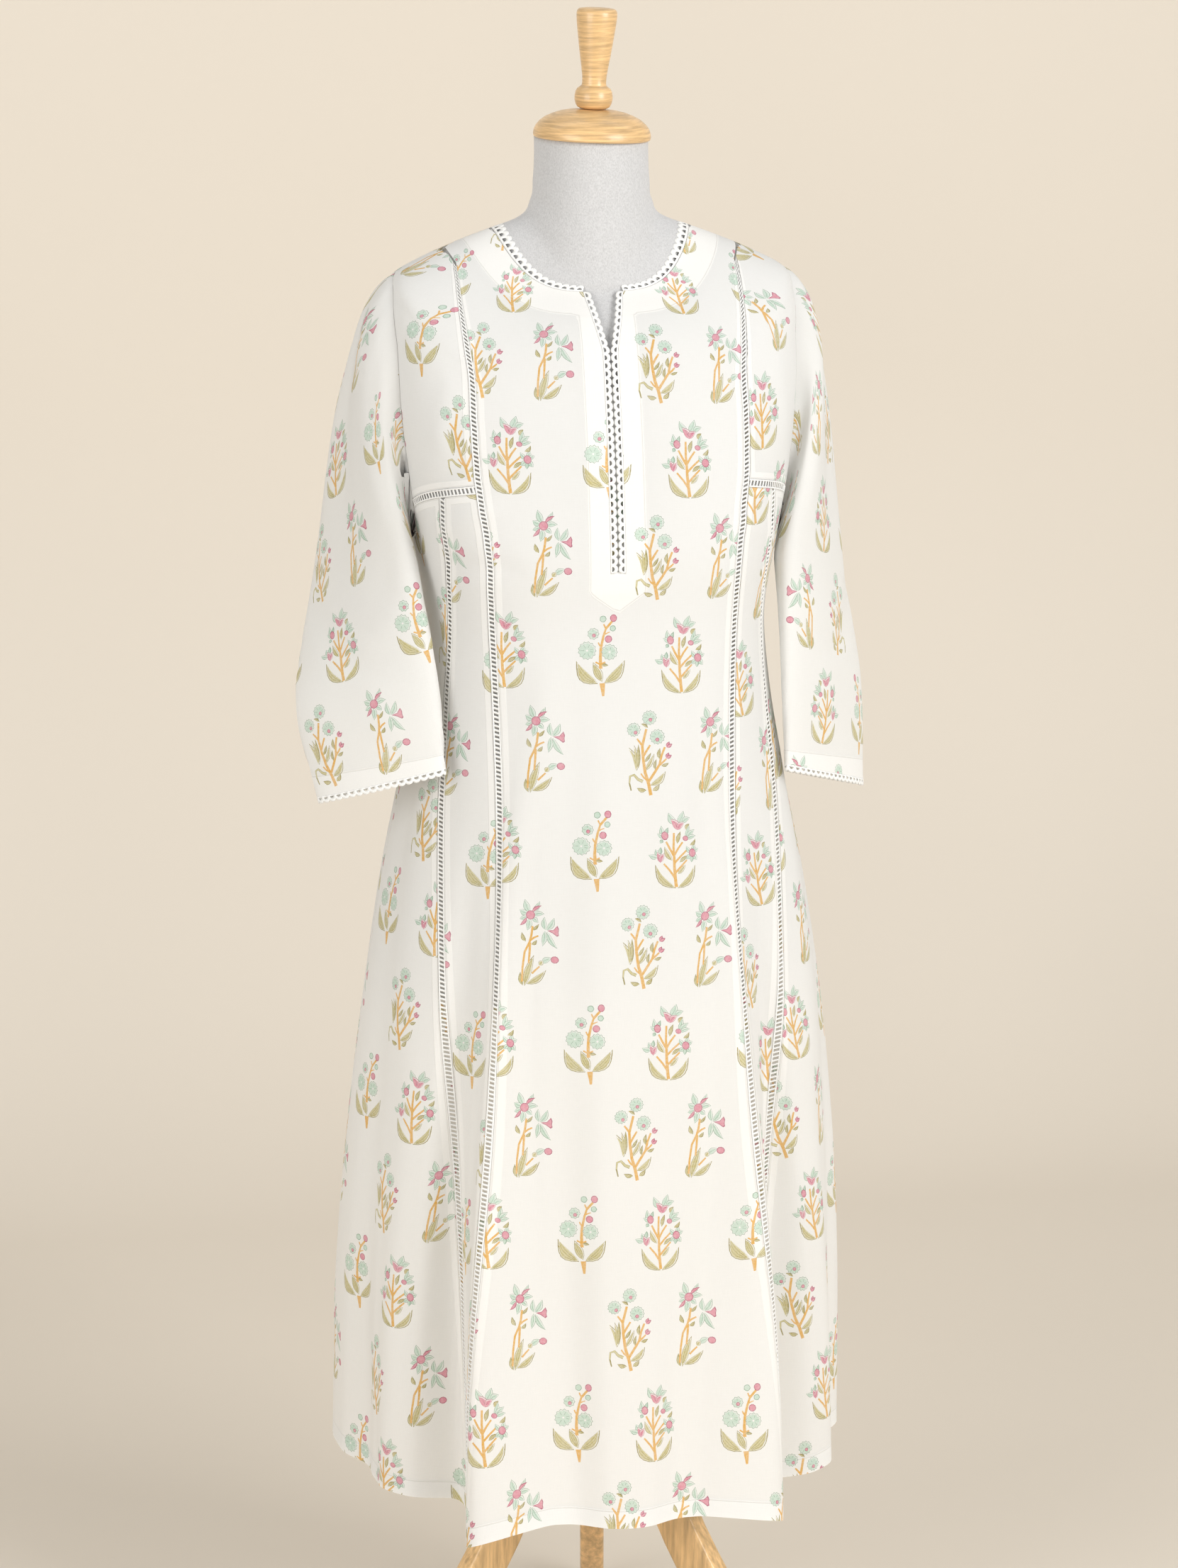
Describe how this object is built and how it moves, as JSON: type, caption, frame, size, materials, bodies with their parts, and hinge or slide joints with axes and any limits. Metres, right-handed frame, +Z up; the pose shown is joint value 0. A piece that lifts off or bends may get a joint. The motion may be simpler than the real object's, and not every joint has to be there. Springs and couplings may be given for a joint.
{
  "type": "kurta tunic on a dress form",
  "caption": "Long loose kurta tunic with three-quarter sleeves, ladder-lace seams and a slit neckline, worn by a padded limbless dress form on a wooden tripod stand.",
  "frame": {"origin": "bottom centre of the whole object's box, on the floor between the feet", "axes": "+Z up; -Y the wearer's front, the side with the neck slit; +X to the right as seen from the front"},
  "size_m": [0.5764, 0.4988, 1.7149],
  "materials": {
    "white_cambric": "fine matte cotton cambric with a four-motif floral block print",
    "cambric_facing": "matte doubled cotton, seen through the cloth as a whiter band",
    "cotton_lace": "matte cotton ladder and scalloped lace",
    "grey_jersey": "pale grey woven cover of a padded form",
    "honey_wood": "clear satin varnish"
  },
  "bodies": {
    "root": {"back": "white_cambric", "cuff_turning_left": "white_cambric", "cuff_turning_right": "white_cambric", "facing_neck_left": "cambric_facing", "facing_neck_right": "cambric_facing", "facing_placket": "cambric_facing", "finial": "honey_wood", "front_centre": "white_cambric", "gore_inner_left": "white_cambric", "gore_inner_right": "white_cambric", "gore_outer_left": "white_cambric", "gore_outer_right": "white_cambric", "hem_turning": "cambric_facing", "hub": "honey_wood", "lace_cuff_left": "cotton_lace", "lace_cuff_right": "cotton_lace", "lace_neck": "cotton_lace", "lace_princess_left": "cotton_lace", "lace_princess_right": "cotton_lace", "lace_side_left": "cotton_lace", "lace_side_right": "cotton_lace", "lace_slit_left": "cotton_lace", "lace_slit_right": "cotton_lace", "lace_yoke_left": "cotton_lace", "lace_yoke_right": "cotton_lace", "leg_back": "honey_wood", "leg_left": "honey_wood", "leg_right": "honey_wood", "neck_cap": "honey_wood", "pole": "honey_wood", "sleeve_left": "white_cambric", "sleeve_right": "white_cambric", "torso": "grey_jersey", "underlap": "white_cambric", "yoke_left": "white_cambric", "yoke_right": "white_cambric"}
  },
  "joints": []
}
